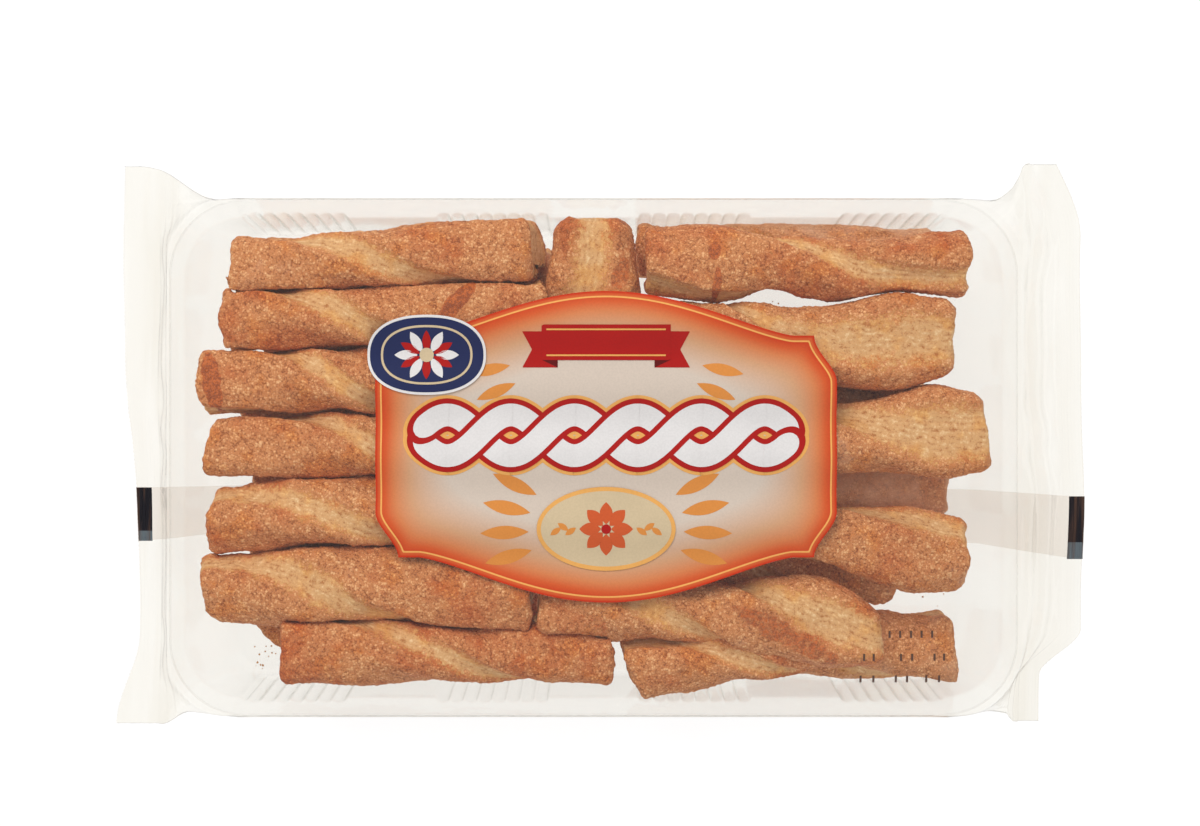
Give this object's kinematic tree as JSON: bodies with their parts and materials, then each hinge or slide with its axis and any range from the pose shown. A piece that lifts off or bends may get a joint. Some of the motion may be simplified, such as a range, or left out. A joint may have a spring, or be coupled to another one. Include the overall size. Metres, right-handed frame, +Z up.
{
  "type": "pack of puff pastry twists",
  "caption": "Flat sealed clear pack of sugared puff pastry twists on a clear ribbed tray, with crimped ends and a printed label.",
  "frame": {"origin": "under the middle of the pack, on the surface it lies on", "axes": "+Z up, out of the printed side; +X along the pack, towards its slacker end; +Y across it, towards the top of the print"},
  "size_m": [0.312, 0.18, 0.0421],
  "materials": {
    "film": "clear glossy plastic film with crimped ends",
    "tray": "clear thermoformed plastic, ribbed walls",
    "pastry": "baked flaky pastry, sugar grain on the browned faces",
    "print": "printed colour on the film, satin"
  },
  "bodies": {
    "root": {"sealed_pack": "film"}
  },
  "joints": []
}
